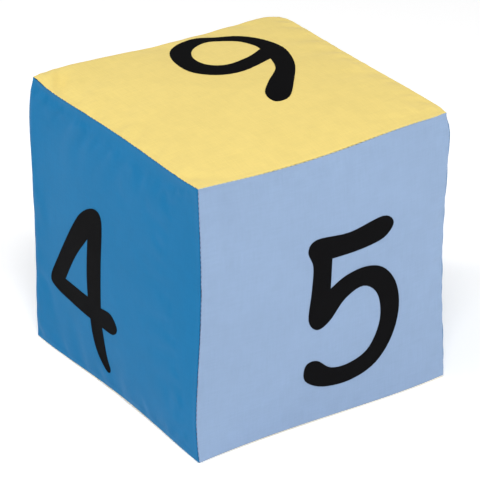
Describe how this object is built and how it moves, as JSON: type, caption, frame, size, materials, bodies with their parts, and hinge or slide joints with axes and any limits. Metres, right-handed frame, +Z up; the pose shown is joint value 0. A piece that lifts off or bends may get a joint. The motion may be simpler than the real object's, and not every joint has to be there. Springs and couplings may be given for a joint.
{
  "type": "soft yard die",
  "caption": "Large soft game die: a foam block in a sewn fabric cover with one big numeral on each face and a zip along one upright edge.",
  "frame": {"origin": "on the ground, at the middle of the face that the die stands on", "axes": "+Z up through the six; +X out of the three; +Y out of the two; the zip runs up the edge between the two and the three"},
  "size_m": [0.208, 0.208, 0.204],
  "materials": {
    "cover_yellow": "plain-weave cotton, matt with a soft sheen",
    "cover_blue": "plain-weave cotton, matt with a soft sheen",
    "cover_light_blue": "plain-weave cotton, matt with a soft sheen",
    "numeral_film": "thin heat-pressed film, matt black",
    "foam": "open-cell upholstery foam",
    "thread": "spun sewing thread",
    "zip_tape": "woven polyester tape",
    "zip_chain": "nylon coil",
    "zip_metal": "nickel-plated, lightly brushed"
  },
  "bodies": {
    "cover_and_core": {"foam_core": "foam", "panel_one": "cover_yellow", "panel_two": "cover_light_blue", "panel_three": "cover_blue", "panel_four": "cover_blue", "panel_five": "cover_light_blue", "panel_six": "cover_yellow", "numeral_one": "numeral_film", "numeral_two": "numeral_film", "numeral_three": "numeral_film", "numeral_four": "numeral_film", "numeral_five": "numeral_film", "numeral_six": "numeral_film", "seam_one_two": "thread", "seam_one_three": "thread", "seam_one_four": "thread", "seam_one_five": "thread", "seam_two_four": "thread", "seam_two_six": "thread", "seam_three_five": "thread", "seam_three_six": "thread", "seam_four_five": "thread", "seam_four_six": "thread", "seam_five_six": "thread", "zip_edge_seam_lower": "thread", "zip_edge_seam_upper": "thread", "zip_topstitch_left": "thread", "zip_topstitch_right": "thread", "zip_tape_left": "zip_tape", "zip_tape_right": "zip_tape", "zip_chain_left": "zip_chain", "zip_chain_right": "zip_chain", "zip_top_stop_left": "zip_metal", "zip_top_stop_right": "zip_metal", "zip_bottom_stop": "zip_metal"},
    "slider": {"zip_slider": "zip_metal"},
    "pull": {"zip_pull": "zip_metal"}
  },
  "joints": [
    {"name": "zip_slide", "type": "slide", "parent": "cover_and_core", "child": "slider", "axis": [0, 0, 1], "range_m": [-0.149, 0], "deforming": ["zip_chain_left", "zip_chain_right", "zip_tape_left", "zip_tape_right"]},
    {"name": "pull_swing", "type": "hinge", "parent": "slider", "child": "pull", "pos_m": [0.09682, 0.09682, 0.1786], "axis": [0.7071, -0.7071, 0], "range_deg": [0, 150]}
  ]
}
